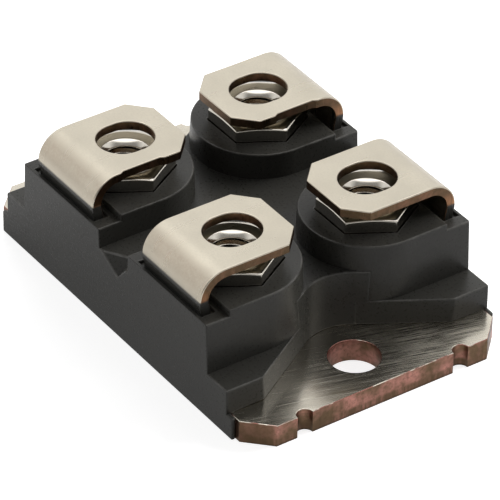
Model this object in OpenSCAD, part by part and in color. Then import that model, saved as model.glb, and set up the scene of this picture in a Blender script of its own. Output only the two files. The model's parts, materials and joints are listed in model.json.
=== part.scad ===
// Transistor power module with four screw terminals, a moulded body and a metal base plate.
// Millimetres. The origin is under the middle of the base plate, +X is along the length and +Z is up.

/* [Base plate] */
// Thickness of the base plate
plate_t = 2; // [1.5:0.1:3]
// Width of the base plate between its long sides
plate_w = 24; // [23:0.1:26]
// Distance between the two mounting holes
hole_pitch = 30.2; // [29:0.1:34]
// Diameter of a mounting hole
hole_d = 4.2; // [3.4:0.1:4.6]
// Distance from a mounting hole's axis to the end of the plate
hole_to_end = 3.9; // [3:0.1:6]
// Leg of the cut at each corner of the plate
plate_corner = 2.05; // [0.5:0.05:3]
// Radius of the half-round notches in the plate's ends
edge_notch_r = 0.7; // [0.3:0.05:1]
// Distance from the plate's centre line to an edge notch
edge_notch_y = 7.35; // [4:0.05:8.5]

/* [Moulded body] */
// Wall of the skirt that covers the long sides of the plate
skirt_t = 0.4; // [0.2:0.05:1]
// Length of the skirt past a mounting hole's axis
skirt_past_hole = 1.4; // [0.8:0.1:2]
// Length of the ears past a mounting hole's axis
ear_past_hole = 0.65; // [0.2:0.05:0.8]
// Height of the ears above the plate
ear_h = 2.2; // [1.5:0.1:3]
// Height of the floor between the towers above the ears
floor_h = 2.75; // [2.2:0.05:4]
// Height of the tower tops above that floor
tower_h = 2.25; // [1.5:0.05:3]
// Width of a tower at the level of the floor
tower_w = 11.05; // [10.4:0.05:12]
// Draft of the moulded walls from the upright, in degrees
draft = 2.5; // [0.5:0.5:4]
// Drop from a tower's top to its outer ledge
ledge_drop = 0.52; // [0.2:0.02:0.8]
// Distance from the body's long side to the inner edge of a ledge
ledge_w = 2.15; // [1.8:0.05:2.5]
// Radius of the recess round each mounting screw's head, at the level of the floor
recess_r = 4.26; // [3.6:0.02:4.8]
// Angle of the recess flanks from the length of the body, in degrees
flank_angle = 59; // [50:1:65]
// Width of the scar of the broken-off mould gate on the near long side
gate_w = 3.4; // [1:0.1:3.8]
// Depth of the gate scar below the floor between the towers
gate_h = 1.3; // [0.5:0.1:2]
// Distance of the scar's lowest point from the middle of the long side
gate_tip_x = 0.6; // [-0.4:0.1:0.8]
// Slope of the gate scar into the body, in degrees
gate_slope = 42; // [20:1:60]

/* [Terminals] */
// Distance between terminal axes along the length
pitch_x = 15; // [14:0.1:16]
// Distance between terminal axes across the width
pitch_y = 12.7; // [12:0.1:13.5]
// Thickness of the strap
strap_t = 0.8; // [0.5:0.05:1]
// Width of the strap
strap_w = 8; // [7:0.1:9]
// Distance from a terminal axis to the free end of the strap
strap_reach = 4.2; // [3.6:0.1:4.8]
// Cut at the free corners, across the strap
corner_cut_x = 1.75; // [0.5:0.05:2.5]
// Cut at the free corners, along the strap
corner_cut_y = 1.65; // [0.5:0.05:2.5]
// Width of the screw slot in the strap
slot_w = 4.2; // [3.4:0.1:4.8]
// Length of the screw slot in the strap
slot_l = 4.8; // [4.8:0.1:5.4]
// Length of the notch where the tie bar was sheared off a strap's inner edge
tie_l = 3.4; // [2:0.1:3.6]
// Depth of that notch
tie_depth = 0.2; // [0.05:0.05:0.4]
// Distance from the terminal axis to the middle of that notch, towards the long side
tie_y = 0.95; // [0:0.05:1.2]
// Run of the slope at each end of that notch
tie_run = 0.35; // [0.1:0.05:0.8]
// Gap between the nut and the strap above it
strap_over_nut = 0.7; // [0.1:0.05:1.2]
// Lean of the strap outwards where it leaves the body, in degrees
strap_lean = 16; // [5:1:25]
// Height of the leaning stretch of the strap above the ledge
strap_rise = 0.26; // [0.1:0.02:0.5]
// Wall of the body outside the strap at the ledge
strap_cover = 0.57; // [0.5:0.01:0.8]
// Least gap between a nut and the strap's leg, which the body is always wide enough for
leg_gap = 0.3; // [0.2:0.05:0.6]
// Room round the strap in the pocket it comes out of
pocket_gap = 0.3; // [0.1:0.02:0.4]
// Depth of that pocket below the ledge
pocket_depth = 0.5; // [0.2:0.05:1]
// Depth of the strap's shoulder below the pocket
shoulder_depth = 0.6; // [0.3:0.1:1]
// Width of a terminal's foot
foot_w = 3.6; // [2.5:0.1:4]
// Length of a terminal's foot on its pad
foot_l = 2.2; // [1.2:0.1:2.6]
// Outer radius of the bend above the foot
foot_bend_r = 1.2; // [1:0.05:1.6]

/* [Nuts] */
// Width of a nut across its flats
nut_flats = 7; // [6:0.1:7.4]
// Height of a nut
nut_h = 3.2; // [2.6:0.1:3.4]
// Height of a nut's top above its tower
nut_stand = 1.3; // [0.8:0.05:1.6]
// Inner diameter of the nut's thread
nut_bore_d = 3.3; // [2.6:0.05:3.6]
// Diameter of the lead-in at the lower end of the thread
nut_lead_d = 4.3; // [3.8:0.05:4.8]
// Diameter of the plain sink above the thread
nut_sink_d = 4.15; // [3.8:0.05:4.6]
// Depth of that sink
nut_sink_h = 0.8; // [0.3:0.05:1]
// Chamfer at the upper end of the thread
nut_break = 0.1; // [0.05:0.01:0.2]
// Diameter of the flat top and bottom inside a nut's chamfer
nut_face_d = 5.9; // [5:0.1:6.6]
// Slope of that chamfer, in degrees
nut_chamfer = 18; // [10:1:35]
// Room between a nut and its pocket, on each side
nut_gap = 0.1; // [0.04:0.01:0.2]
// Diameter of the screw well under a nut
well_d = 4.3; // [3.6:0.1:5]
// Depth of the screw well under a nut
well_depth = 2; // [1:0.1:2.2]

/* [Substrate] */
// Thickness of the solder under the substrate
base_solder_t = 0.1; // [0.05:0.01:0.2]
// Thickness of the copper on each side of the ceramic
copper_t = 0.3; // [0.15:0.05:0.4]
// Thickness of the ceramic
ceramic_t = 0.6; // [0.3:0.05:0.8]
// Edge of the ceramic left bare of copper
bare_edge = 0.4; // [0.2:0.05:0.8]
// Gap between neighbouring pads
pad_gap = 0.6; // [0.3:0.05:1]
// Width of the emitter and sense pads beside the collector pad
side_pad_w = 4.2; // [4:0.1:4.6]
// Length of the gate pad from the edge of the copper
gate_pad_l = 3.6; // [3:0.1:4.2]
// Width of the gate pad along the body
gate_pad_w = 8.2; // [7:0.1:9]
// Clearance between the ceramic and the upright legs of the terminals
ceramic_to_leg = 0.23; // [0.1:0.01:0.4]
// Clearance between a foot's side and the edge of its pad
foot_margin = 0.1; // [0.05:0.01:0.3]
// Distance across the width from the collector pad's near edge to the split of the side pads
side_split_y = 3.7; // [3:0.1:4.2]

/* [Chips] */
// Thickness of the solder under chips and feet
joint_t = 0.1; // [0.05:0.01:0.15]
// Solder that shows round the foot of a chip
joint_rim = 0.12; // [0.05:0.01:0.2]
// Side of the transistor chip
switch_w = 7.6; // [7:0.1:8]
// Width of the diode chip along the body
diode_w = 5.4; // [4.6:0.1:5.6]
// Gap between the diode chip and the line of the terminal feet
diode_to_feet = 0.1; // [0.05:0.01:0.3]
// Thickness of both chips
chip_t = 0.35; // [0.15:0.05:0.4]
// Margin of the collector pad beside the chips
chip_margin = 0.6; // [0.4:0.05:0.9]
// Gap between the two chips
chip_gap = 0.7; // [0.5:0.05:1]

/* [Bond wires] */
// Diameter of a bond wire
wire_d = 0.38; // [0.2:0.02:0.5]
// Distance between neighbouring wires on the transistor chip
wire_pitch = 1; // [0.8:0.05:1.1]
// Distance from the diode chip's ends to its outermost wires
diode_wire_margin = 1.2; // [0.8:0.1:1.4]
// Number of wires on each chip
wire_count = 4; // [2:1:4]
// Rise of a wire's loop above its feet
wire_rise = 1.05; // [0.6:0.05:1.1]
// Length of a wire's flattened foot
wire_foot_l = 0.9; // [0.7:0.05:1]
// Height of a wire's flattened foot
wire_foot_t = 0.25; // [0.15:0.02:0.3]
// Distance from a chip's edge to the middle of a wire foot on it
wire_inset = 2.2; // [1:0.1:2.5]

/* [Hidden] */
$fn = 64;
eps = 0.02;
bend_steps = 16;
wire_fn = 24;
HEX = 6;
SIDES = [-1, 1];

// Places along the length
hole_x = hole_pitch / 2;
plate_l = hole_pitch + 2 * hole_to_end;
skirt_x = hole_x + skirt_past_hole;
ear_x = hole_x + ear_past_hole;
axis_x = pitch_x / 2;

// Places across the width
axis_y = pitch_y / 2;
body_y = max(plate_w / 2 + skirt_t, axis_y + nut_flats / 2 + leg_gap + strap_t + strap_cover);
axis_to_side = body_y - axis_y;
leg_out = axis_to_side - strap_cover;
leg_in = leg_out - strap_t;
ledge_in = axis_to_side - ledge_w;

// Levels
ear_z = plate_t + ear_h;
floor_z = ear_z + floor_h;
tower_z = floor_z + tower_h;
ledge_z = tower_z - ledge_drop;
nut_top_z = tower_z + nut_stand;
nut_seat_z = nut_top_z - nut_h;
well_z = nut_seat_z - well_depth;
strap_under_z = nut_top_z + strap_over_nut;
top_z = strap_under_z + strap_t;
back_z = plate_t + base_solder_t;
ceramic_z = back_z + copper_t;
pad_z = ceramic_z + ceramic_t;
joint_z = pad_z + copper_t;
chip_z = joint_z + joint_t;
chip_top_z = chip_z + chip_t;
shoulder_z = ledge_z - pocket_depth - shoulder_depth;

// Half widths of a tower and of a recess, which change with the level
tower_r = tower_w / 2;
function tower_reach(z) = tower_r - (z - floor_z) * tan(draft);
function recess_reach(z) = recess_r + (z - floor_z) * tan(draft);

// The bend over the nut: its radius fills the height from the leaning stretch to the top
bend_r = (top_z - ledge_z - strap_rise) / (1 + sin(strap_lean));
bend_z = top_z - bend_r;
bend_y = leg_out + strap_rise * tan(strap_lean) - bend_r * cos(strap_lean);

// Copper layout on the substrate
copper_x = axis_x + foot_w / 2 + foot_margin;
ceramic_x = copper_x + bare_edge;
ceramic_y = axis_y + leg_in - ceramic_to_leg;
copper_y = ceramic_y - bare_edge;
side_pad_x = -copper_x + side_pad_w;
collector_x = side_pad_x + pad_gap;
gate_pad_y = -copper_y + gate_pad_l;
collector_y = gate_pad_y + pad_gap;
side_split = collector_y + side_split_y;
foot_tip_y = copper_y - axis_y - foot_l;

// Chip places, from the corner of the collector pad
switch_x = collector_x + chip_margin + switch_w / 2;
switch_y = collector_y + chip_margin + switch_w / 2;
diode_x = collector_x + chip_margin + diode_w / 2;
diode_low_y = switch_y + switch_w / 2 + chip_gap;
diode_high_y = copper_y - foot_l - diode_to_feet;
diode_l = diode_high_y - diode_low_y;
diode_y = (diode_low_y + diode_high_y) / 2;

// Wire feet
side_foot_x = -copper_x + side_pad_w / 2;
switch_foot_x = switch_x - switch_w / 2 + wire_inset;
diode_foot_x = diode_x - diode_w / 2 + wire_inset;
diode_wire_y = diode_low_y + diode_wire_margin;
diode_wire_pitch = (diode_l - 2 * diode_wire_margin) / (wire_count - 1);
switch_wire_y = side_split + pad_gap + wire_d;
sense_wire_y = side_split - pad_gap - wire_d;
gate_wire_x = switch_x + switch_w / 2 - wire_foot_l;
gate_foot_y = switch_y - switch_w / 2 + wire_foot_l;
gate_land_y = gate_pad_y - wire_foot_l;

// Finishes
NICKEL = [0.80, 0.77, 0.70];
EPOXY = [0.13, 0.13, 0.13];
COPPER = [0.72, 0.45, 0.33];
SOLDER = [0.62, 0.63, 0.64];
CERAMIC = [0.90, 0.89, 0.85];
SILICON = [0.35, 0.37, 0.42];
ALUMINIUM = [0.78, 0.79, 0.80];

// Shared shapes

// A box from one corner to the opposite one
module block(low, high) {
    translate(low)
        cube(high - low);
}

// A flat layer between two corners, from one level to another
module layer(low, high, z, t) {
    block([low.x, low.y, z], [high.x, high.y, z + t]);
}

// A layer of a given width and length about a point
module tile(x, y, w, l, z, t) {
    layer([x - w / 2, y - l / 2], [x + w / 2, y + l / 2], z, t);
}

// Children at one terminal, turned so that +Y points to the nearer long side
module at_terminal(side_x, side_y) {
    translate([side_x * axis_x, side_y * axis_y, 0])
        mirror([0, side_y < 0 ? 1 : 0, 0])
            children();
}

// Children at every terminal
module at_terminals() {
    for (side_x = SIDES, side_y = SIDES)
        at_terminal(side_x, side_y)
            children();
}

// A side profile in Y and Z, pulled along X about the middle
module pull_x(w) {
    translate([-w / 2, 0, 0])
        rotate([90, 0, 90])
            linear_extrude(w)
                children();
}

// Points on a round stretch of an outline
function arc(centre, r, from, to) = [
    for (k = [0 : bend_steps])
        let (a = from + (to - from) * k / bend_steps)
        centre + r * [cos(a), sin(a)]
];

// Base plate

module base_plate() {
    half_l = plate_l / 2;
    half_w = plate_w / 2;
    color(NICKEL)
        linear_extrude(plate_t)
            difference() {
                square([plate_l, plate_w], center = true);
                for (sx = SIDES, sy = SIDES) {
                    polygon([[sx * half_l, sy * half_w], [sx * (half_l - plate_corner), sy * half_w],
                        [sx * half_l, sy * (half_w - plate_corner)]]);
                    translate([sx * half_l, sy * edge_notch_y])
                        circle(edge_notch_r);
                }
                for (sx = SIDES)
                    translate([sx * hole_x, 0])
                        circle(d = hole_d);
            }
}

// Moulded body

// Room for a mounting screw's head at the +X end: a round seat with two straight flanks to the ears
module recess_space() {
    far = plate_l / 2;
    translate([hole_x, 0, 0]) {
        rotate_extrude()
            polygon([[0, 0], [recess_reach(0), 0], [recess_reach(top_z), top_z], [0, top_z]]);
        for (side = SIDES)
            mirror([0, side < 0 ? 1 : 0, 0])
                rotate([0, 0, flank_angle])
                    rotate([90, 0, 90])
                        linear_extrude(far)
                            polygon([[-recess_r, 0], [recess_reach(0) - eps, 0],
                                [recess_reach(top_z) - eps, top_z], [-recess_r, top_z]]);
    }
}

// One tower: a round end about the terminal axis, run straight out to the long side
module tower() {
    foot_r = tower_reach(plate_t);
    top_r = tower_reach(tower_z);
    rotate([0, 0, 180])
        rotate_extrude(angle = 180)
            polygon([[0, plate_t], [foot_r, plate_t], [top_r, tower_z], [0, tower_z]]);
    rotate([90, 0, 180])
        linear_extrude(axis_to_side)
            polygon([[-foot_r, plate_t], [foot_r, plate_t], [top_r, tower_z], [-top_r, tower_z]]);
}

// What a tower loses: its outer ledge, the strap's pocket, the nut's pocket and the screw well
module tower_cuts() {
    pocket_x = strap_w / 2 + pocket_gap;
    block([-tower_w, ledge_in, ledge_z], [tower_w, axis_to_side + eps, top_z]);
    block([-pocket_x, leg_in - pocket_gap, ledge_z - pocket_depth],
        [pocket_x, leg_out + pocket_gap, top_z]);
    translate([0, 0, nut_seat_z])
        nut_prism(nut_flats + 2 * nut_gap, top_z);
    translate([0, 0, well_z])
        cylinder(h = top_z, d = well_d);
}

// Scar of the broken-off gate, which rises from the near long side to the floor
module gate_scar() {
    translate([0, -body_y, floor_z])
        rotate([90 + gate_slope, 0, 0])
            linear_extrude(2 * gate_w, center = true)
                polygon([[-gate_w / 2, 0], [gate_w / 2, 0], [gate_tip_x, -gate_h * cos(gate_slope)]]);
}

module moulded_body() {
    end_x = axis_x + tower_r * sin(flank_angle);
    end_y = axis_y - tower_r * cos(flank_angle);
    color(EPOXY)
        difference() {
            union() {
                block([-skirt_x, -body_y, 0], [skirt_x, body_y, plate_t]);
                block([-ear_x, -body_y, plate_t], [ear_x, body_y, ear_z]);
                block([-axis_x, -body_y, plate_t], [axis_x, body_y, floor_z]);
                block([-end_x, -end_y, plate_t], [end_x, end_y, floor_z]);
                at_terminals()
                    tower();
            }
            block([-plate_l, -plate_w / 2, -eps], [plate_l, plate_w / 2, plate_t]);
            for (side = SIDES)
                mirror([side < 0 ? 1 : 0, 0, 0])
                    recess_space();
            at_terminals()
                tower_cuts();
            gate_scar();
            inner_pieces();
        }
}

// All that the body is moulded round
module inner_pieces() {
    at_terminals()
        strap();
    base_solder();
    back_copper();
    ceramic_substrate();
    collector_pad();
    emitter_pad();
    sense_pad();
    gate_pad();
    terminal_solder();
    switch_solder();
    switch_chip();
    diode_solder();
    diode_chip();
    switch_wires();
    diode_wires();
    gate_wire();
    sense_wire();
}

// Terminals

// Side outline of the strap from its shoulder over the nut to the free end
module strap_outline() {
    centre = [bend_y, bend_z];
    kink_z = ledge_z + strap_t * tan(strap_lean / 2);
    polygon(concat(
        [[leg_in, shoulder_z], [leg_out, shoulder_z], [leg_out, ledge_z]],
        arc(centre, bend_r, -strap_lean, 90),
        [[-strap_reach, top_z], [-strap_reach, strap_under_z]],
        arc(centre, bend_r - strap_t, 90, -strap_lean),
        [[leg_in, kink_z]]));
}

// Side outline of the narrow leg and its foot
module foot_outline() {
    centre = [leg_out - foot_bend_r, chip_z + foot_bend_r];
    polygon(concat(
        [[foot_tip_y, chip_z + strap_t], [foot_tip_y, chip_z]],
        arc(centre, foot_bend_r, -90, 0),
        [[leg_out, shoulder_z], [leg_in, shoulder_z]],
        arc(centre, foot_bend_r - strap_t, 0, -90)));
}

// The screw slot through the strap
module strap_slot() {
    half_run = (slot_l - slot_w) / 2;
    translate([0, 0, strap_under_z - eps])
        linear_extrude(strap_t + 2 * eps) {
            for (side = SIDES)
                translate([0, side * half_run])
                    circle(d = slot_w);
            square([slot_w, 2 * half_run], center = true);
        }
}

// The notch in a strap's inner edge
module tie_notch() {
    half_l = tie_l / 2;
    end_y = half_l + tie_run;
    translate([strap_w / 2, tie_y, strap_under_z - eps])
        linear_extrude(strap_t + 2 * eps)
            polygon([[eps, -end_y], [eps, end_y], [0, end_y], [-tie_depth, half_l], [-tie_depth, -half_l],
                [0, -end_y]]);
}

// One terminal, folded over its nut, with its free corners cut
module strap() {
    half_w = strap_w / 2;
    difference() {
        union() {
            pull_x(strap_w)
                strap_outline();
            pull_x(foot_w)
                foot_outline();
        }
        strap_slot();
        for (side = SIDES)
            translate([0, 0, strap_under_z - eps])
                linear_extrude(strap_t + 2 * eps)
                    polygon([[side * half_w, -strap_reach], [side * (half_w - corner_cut_x), -strap_reach],
                        [side * half_w, -strap_reach + corner_cut_y]]);
    }
}

module gate_terminal() {
    color(NICKEL)
        at_terminal(1, -1)
            strap();
}

module collector_terminal() {
    color(NICKEL)
        at_terminal(1, 1)
            strap();
}

module emitter_terminal() {
    color(NICKEL)
        at_terminal(-1, 1)
            difference() {
                strap();
                tie_notch();
            }
}

module sense_terminal() {
    color(NICKEL)
        at_terminal(-1, -1)
            difference() {
                strap();
                tie_notch();
            }
}

// Nuts

// A hexagon prism with corners on the X axis
module nut_prism(flats, h) {
    cylinder(h = h, d = flats / cos(180 / HEX), $fn = HEX);
}

// A hexagon nut with chamfered corners and a bored thread: a lead-in below it, a plain sink above it
module nut() {
    corner_r = nut_flats / cos(180 / HEX) / 2;
    face_r = nut_face_d / 2;
    slope_h = (corner_r - face_r) * tan(nut_chamfer);
    bore_r = nut_bore_d / 2;
    lead_h = nut_lead_d / 2 - bore_r;
    sink_r = nut_sink_d / 2;
    sink_z = nut_h - nut_sink_h;
    translate([0, 0, nut_seat_z])
        difference() {
            intersection() {
                nut_prism(nut_flats, nut_h);
                rotate_extrude()
                    polygon([[0, 0], [face_r, 0], [corner_r, slope_h], [corner_r, nut_h - slope_h],
                        [face_r, nut_h], [0, nut_h]]);
            }
            rotate_extrude()
                polygon([[0, 0], [nut_lead_d / 2, 0], [bore_r, lead_h], [bore_r, sink_z - nut_break],
                    [bore_r + nut_break, sink_z], [sink_r, sink_z], [sink_r, nut_h], [0, nut_h]]);
        }
}

module terminal_nuts() {
    color(NICKEL)
        at_terminals()
            nut();
}

// Substrate

module base_solder() {
    color(SOLDER)
        layer([-copper_x, -copper_y], [copper_x, copper_y], plate_t, base_solder_t);
}

module back_copper() {
    color(COPPER)
        layer([-copper_x, -copper_y], [copper_x, copper_y], back_z, copper_t);
}

module ceramic_substrate() {
    color(CERAMIC)
        layer([-ceramic_x, -ceramic_y], [ceramic_x, ceramic_y], ceramic_z, ceramic_t);
}

module collector_pad() {
    color(COPPER)
        layer([collector_x, collector_y], [copper_x, copper_y], pad_z, copper_t);
}

module emitter_pad() {
    color(COPPER)
        layer([-copper_x, side_split + pad_gap / 2], [side_pad_x, copper_y], pad_z, copper_t);
}

module sense_pad() {
    color(COPPER)
        layer([-copper_x, -copper_y], [side_pad_x, side_split - pad_gap / 2], pad_z, copper_t);
}

module gate_pad() {
    color(COPPER)
        layer([copper_x - gate_pad_w, -copper_y], [copper_x, gate_pad_y], pad_z, copper_t);
}

module terminal_solder() {
    color(SOLDER)
        at_terminals()
            layer([-foot_w / 2, foot_tip_y], [foot_w / 2, foot_tip_y + foot_l], joint_z, joint_t);
}

// Chips

module switch_solder() {
    color(SOLDER)
        tile(switch_x, switch_y, switch_w + 2 * joint_rim, switch_w + 2 * joint_rim, joint_z, joint_t);
}

module switch_chip() {
    color(SILICON)
        tile(switch_x, switch_y, switch_w, switch_w, chip_z, chip_t);
}

module diode_solder() {
    color(SOLDER)
        tile(diode_x, diode_y, diode_w + 2 * joint_rim, diode_l + 2 * joint_rim, joint_z, joint_t);
}

module diode_chip() {
    color(SILICON)
        tile(diode_x, diode_y, diode_w, diode_l, chip_z, chip_t);
}

// Bond wires

// A looped wire in X and Z between a foot at x0 on a pad and one at x1 on a chip
module wire(x0, x1) {
    drop = chip_top_z - joint_z;
    chord = norm([x1 - x0, drop]);
    loop_r = (chord * chord / 4 + wire_rise * wire_rise) / (2 * wire_rise);
    half_turn = asin(chord / 2 / loop_r);
    for (foot = [[x0, joint_z], [x1, chip_top_z]])
        block([foot.x - wire_foot_l / 2, -wire_d / 2, foot.y],
            [foot.x + wire_foot_l / 2, wire_d / 2, foot.y + wire_foot_t]);
    translate([(x0 + x1) / 2, 0, (joint_z + chip_top_z + wire_d) / 2])
        rotate([0, -atan2(drop, x1 - x0), 0])
            translate([0, 0, wire_rise - loop_r])
                rotate([90, 0, 0])
                    rotate([0, 0, 90 - half_turn])
                        rotate_extrude(angle = 2 * half_turn)
                            translate([loop_r, 0])
                                circle(d = wire_d, $fn = wire_fn);
}

module switch_wires() {
    color(ALUMINIUM)
        for (k = [0 : wire_count - 1])
            translate([0, switch_wire_y + k * wire_pitch, 0])
                wire(side_foot_x, switch_foot_x);
}

module diode_wires() {
    color(ALUMINIUM)
        for (k = [0 : wire_count - 1])
            translate([0, diode_wire_y + k * diode_wire_pitch, 0])
                wire(side_foot_x, diode_foot_x);
}

module sense_wire() {
    color(ALUMINIUM)
        translate([0, sense_wire_y, 0])
            wire(side_foot_x, switch_foot_x);
}

module gate_wire() {
    color(ALUMINIUM)
        translate([gate_wire_x, 0, 0])
            rotate([0, 0, 90])
                wire(gate_land_y, gate_foot_y);
}

base_plate();
moulded_body();
gate_terminal();
collector_terminal();
emitter_terminal();
sense_terminal();
terminal_nuts();
base_solder();
back_copper();
ceramic_substrate();
collector_pad();
emitter_pad();
sense_pad();
gate_pad();
terminal_solder();
switch_solder();
switch_chip();
diode_solder();
diode_chip();
switch_wires();
diode_wires();
gate_wire();
sense_wire();
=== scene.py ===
import json
import math
from contextlib import contextmanager
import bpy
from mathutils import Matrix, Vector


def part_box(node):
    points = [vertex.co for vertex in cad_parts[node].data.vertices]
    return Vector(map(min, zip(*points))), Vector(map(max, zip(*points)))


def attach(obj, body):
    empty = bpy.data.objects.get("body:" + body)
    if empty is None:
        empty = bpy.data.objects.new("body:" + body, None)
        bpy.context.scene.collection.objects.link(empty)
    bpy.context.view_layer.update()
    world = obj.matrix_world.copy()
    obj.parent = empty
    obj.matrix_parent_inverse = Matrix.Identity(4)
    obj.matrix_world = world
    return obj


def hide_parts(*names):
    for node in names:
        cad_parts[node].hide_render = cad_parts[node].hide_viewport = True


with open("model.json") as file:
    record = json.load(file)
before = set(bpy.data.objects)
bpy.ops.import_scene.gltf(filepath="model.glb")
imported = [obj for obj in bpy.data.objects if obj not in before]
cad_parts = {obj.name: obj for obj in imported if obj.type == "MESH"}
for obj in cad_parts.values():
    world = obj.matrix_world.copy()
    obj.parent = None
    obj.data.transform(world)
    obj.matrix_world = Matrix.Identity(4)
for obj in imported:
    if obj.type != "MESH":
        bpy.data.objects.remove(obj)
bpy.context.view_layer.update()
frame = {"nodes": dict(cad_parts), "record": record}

from types import SimpleNamespace

import bmesh
import bpy
from bpy.props import FloatProperty, FloatVectorProperty, PointerProperty
from mathutils import Quaternion, Vector

bl_info = {
    "name": "Four-terminal power module",
    "version": (1, 0, 0),
    "blender": (4, 5, 0),
    "location": "View3D > Sidebar > Power module",
    "description": "Models and finishes a power module with four folded screw terminals, and sets its stage",
    "category": "Object",
}

MM = 0.001
BODY = "root"
SIDES = (-1, 1)

# Each terminal's side along X and along Y
TERMINALS = {
    "gate": (1, -1),
    "collector": (1, 1),
    "emitter": (-1, 1),
    "sense": (-1, -1),
}
# The terminals whose +X edge keeps the notch of a sheared tie bar
TIED = ("emitter", "sense")

# Distance within which two places count as one, in millimetres
NEAR = 0.001
# How far a cutter runs past what it cuts
PAST = 1.0
# Corners of the circles that stand for round forms
FACETS = {"notch": 48, "well": 64, "bore": 96, "wall": 128}
# Steps of the strap's bends and of one turn of the thread
BEND_STEPS = 20
FOOT_STEPS = 8
TURN_STEPS = 40
# Part of a face's normal along an axis, above which the face looks that way
FACING = 0.5
# Least and greatest upward part of the normal on the rounding of a top edge
SLOPING = (0.2, 0.98)
# Turn of an edge, below which its faces are merged, or shaded as one
FLAT_TURN = math.radians(0.4)
SMOOTH_TURN = math.radians(32)
# Turn of an edge, above which it is rounded
MOULD_TURN = math.radians(25)
SHEET_TURN = math.radians(40)
NUT_TURN = math.radians(20)
# Face attribute that marks edges: nickel worn through on the plate; on the body, rubbing and painted
# highlight on upward roundings
WORN_AND_HIGHLIT = "worn"
# Material slots of a plated piece
NICKEL, COPPER = 0, 1

# Height of the flash where the body meets the plate, in millimetres
FLASH = 0.12
# Height of the torn lower part of the plate's outer walls
TORN = 0.85
# Height of the dark burr under those walls
BURR = 0.25
# Distance beyond the centre line at which the plate's far half is fully scuffed
SCUFF = 5.0
# Level down to which resin has run over the plate's far corners
RUN_Z = 1.3
# Height over which the painted shade low on the straps, laid on in the epoxy's colour, thins out
STRAP_SHADE_FADE = 0.2
# Height over which the straps' cut edges are stained above that painted shade
STAIN = 1.1
# The span that holds most of a noise's values
MIDDLE = (0.3, 0.7)
# Sockets of a Mix node for colours
MIX_FACTOR, MIX_FIRST, MIX_SECOND, MIX_RESULT = 0, 6, 7, 2

# Each lamp's width and place, and the point that all of them face, in metres
LAMPS = {
    "key": (0.25, (-0.15, -0.4, 0.09)),
    "back": (0.25, (0.03, 0.35, 0.2)),
    "soft": (0.3, (-0.27, 0.19, 0.24)),
}
LAMP_TARGET = Vector((0, 0, 0.005))
# The floor's width in metres, its grey, and its glow as it is seen and in reflections
FLOOR_WIDTH = 4
FLOOR_GREY = 0.6
FLOOR_SEEN = 0.82
FLOOR_MIRRORED = 0.35
# The bright ceiling in reflections, the heights at which it sets in and fades, and what is left overhead
CEILING = 2.4
CEILING_EDGE = (0.76, 0.84)
OVERHEAD_EDGE = (0.88, 0.95)
OVERHEAD_SHARE = 0.42
# Where the white room ends towards the camera, and where it is fully dim
ROOM_EDGE = (0.0, 0.4)


# Sizes that come from the frame, in millimetres

def node_box(name):
    """Lowest and highest corner of a frame node, in millimetres."""
    low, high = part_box(name)
    return low / MM, high / MM


def mount_size(mount, key):
    """One size of a mount in the frame's record, in millimetres."""
    return next(m["dims"][key] for m in frame["record"]["mounts"] if m["name"] == mount)


PLATE_LOW, PLATE_HIGH = node_box("base_plate")
MOULD_LOW, MOULD_HIGH = node_box("moulded_body")
STRAP_LOW, STRAP_HIGH = node_box("collector_terminal")
NUT_LOW, NUT_HIGH = node_box("terminal_nuts")
HOLE_X = mount_size("mounting_holes", "spacing_x_mm") / 2
HOLE_R = mount_size("mounting_holes", "hole_r_mm")
THREAD_R = mount_size("gate_thread", "r_mm")
AXIS_X = (STRAP_LOW.x + STRAP_HIGH.x) / 2
# A nut's sides, and half the angle that one of them spans
NUT_SIDES = 6
NUT_HALF = math.pi / NUT_SIDES
NUT_CORNER_R = NUT_HIGH.x - AXIS_X
NUT_FLAT_R = NUT_CORNER_R * math.cos(NUT_HALF)
AXIS_Y = NUT_HIGH.y - NUT_FLAT_R
STRAP_W = STRAP_HIGH.x - STRAP_LOW.x
STRAP_REACH = AXIS_Y - STRAP_LOW.y
TOP_Z = STRAP_HIGH.z
FOOT_Z = STRAP_LOW.z


# What a user can change

def length(name, description, millimetres):
    """A length property, given in millimetres."""
    return FloatProperty(name=name, description=description, default=millimetres * MM,
                         unit="LENGTH", precision=5)


def angle(name, description, degrees):
    """An angle property, given in degrees."""
    return FloatProperty(name=name, description=description, default=math.radians(degrees), subtype="ANGLE")


def colour(name, description, *rgb):
    """A colour property, given as linear red, green and blue."""
    return FloatVectorProperty(name=name, description=description, default=rgb, subtype="COLOR", min=0, max=1)


def share(name, description, value):
    """A property between 0 and 1."""
    return FloatProperty(name=name, description=description, default=value, subtype="FACTOR", min=0, max=1)


def power(name, description, watts):
    """A lamp's power property, given in watts."""
    return FloatProperty(name=name, description=description, default=watts, unit="POWER")


class PlateSizes(bpy.types.PropertyGroup):
    """Sizes of the base plate"""

    corner: length("Corner cut", "Leg of the cut at each corner", 2.05)
    notch_r: length("Notch radius", "Radius of the half-round notches in the ends", 0.7)
    notch_y: length("Notch place", "Distance of an end notch from the centre line", 7.35)
    rolled: length("Rolled edge", "Rounding of the top edges, which the punch pulled in", 0.05)
    sharp: length("Sheared edge", "Rounding of the bottom edges", 0.04)


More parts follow.
